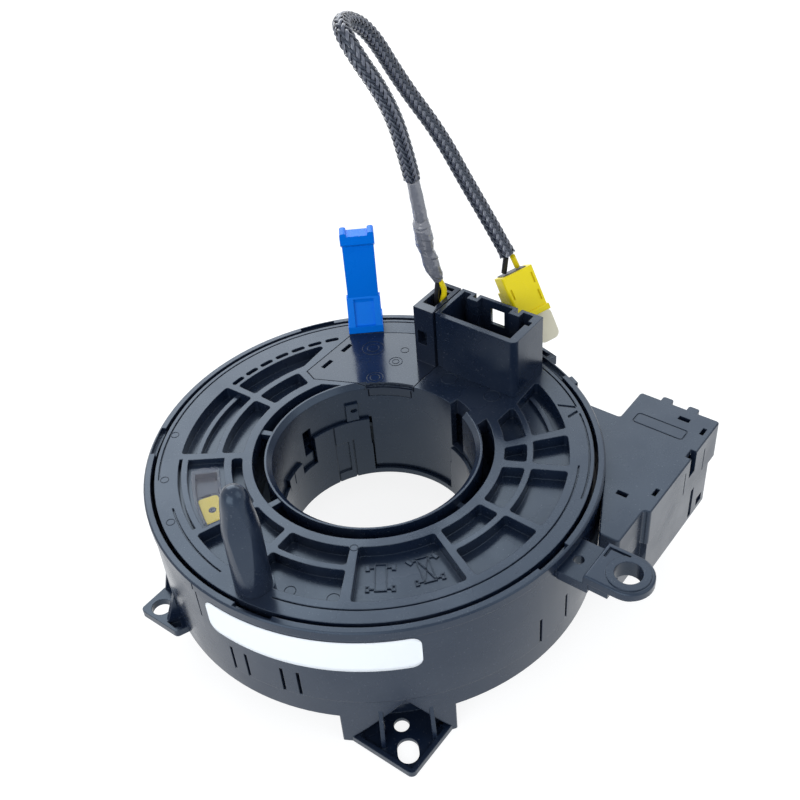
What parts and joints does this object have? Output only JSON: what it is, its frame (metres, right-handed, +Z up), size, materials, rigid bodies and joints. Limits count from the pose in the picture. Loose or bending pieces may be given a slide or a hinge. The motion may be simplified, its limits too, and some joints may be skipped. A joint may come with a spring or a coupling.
{
  "type": "steering clock spring",
  "caption": "Round black rotary connector for a steering column, with a ribbed turning disc round a large bore, a blue lock tab, a looped harness and plug, and a connector box at the side.",
  "frame": {"origin": "on the axis of the steering bore, at the underside of the lower housing", "axes": "+Z up along the steering axis towards the driver, +X through the screw lug, +Y towards the airbag socket"},
  "size_m": [0.1339, 0.1218, 0.1375],
  "materials": {
    "black_plastic": "satin, fine grain",
    "gloss_black_plastic": "smooth, semi-gloss",
    "clear_plastic": "clear, polished",
    "pale_yellow_plastic": "matt",
    "blue_plastic": "satin",
    "yellow_plastic": "satin",
    "grey_plastic": "matt",
    "cable_film": "smooth film",
    "slide_film": "smooth film",
    "board_laminate": "smooth",
    "terminal_metal": "tinned",
    "black_braid": "woven",
    "grey_tape": "woven tape",
    "cream_tape": "paper tape",
    "black_wire": "satin",
    "yellow_wire": "satin"
  },
  "bodies": {
    "stator": {"upper_housing": "black_plastic", "lower_housing": "black_plastic", "flat_cable": "cable_film", "outer_cable_block": "grey_plastic", "lower_slide_sheet": "slide_film", "side_box_cover": "black_plastic", "side_box_base": "black_plastic", "side_pins": "terminal_metal", "terminal_board": "board_laminate"},
    "rotor": {"rotor_disc": "black_plastic", "airbag_socket": "black_plastic", "lead_cover": "gloss_black_plastic", "socket_pins": "terminal_metal", "indicator_window": "clear_plastic", "wheel_plate": "black_plastic", "drive_peg": "black_plastic", "hub_sleeve": "black_plastic", "hub_clip": "black_plastic", "inner_cable_block": "grey_plastic", "upper_slide_sheet": "slide_film", "braided_sleeve": "black_braid", "tape_wrap": "grey_tape", "lead_wire_black": "black_wire", "lead_wire_yellow": "yellow_wire", "plug_wire_black": "black_wire", "plug_wire_yellow": "yellow_wire", "plug_shell": "yellow_plastic", "plug_insert": "grey_plastic", "flag_tape": "cream_tape"},
    "indicator": {"indicator_wheel": "black_plastic", "indicator_flag": "pale_yellow_plastic"},
    "lock_tab": {"lock_tab": "blue_plastic"}
  },
  "joints": [
    {"name": "rotor_spin", "type": "hinge", "parent": "stator", "child": "rotor", "pos_m": [0, 0, 0.0292], "axis": [0, 0, 1], "range_deg": [-900, 900]},
    {"name": "indicator_spin", "type": "hinge", "parent": "rotor", "child": "indicator", "pos_m": [-0.02127, -0.0361, 0.028], "axis": [0, 0, 1], "range_deg": [-150, 150]},
    {"name": "lock_tab_pull", "type": "slide", "parent": "rotor", "child": "lock_tab", "axis": [0, 0, 1], "range_m": [0, 0.01]}
  ],
  "couplings": [
    {"joint": "indicator_spin", "follows": "rotor_spin", "ratio": 0.16667}
  ]
}
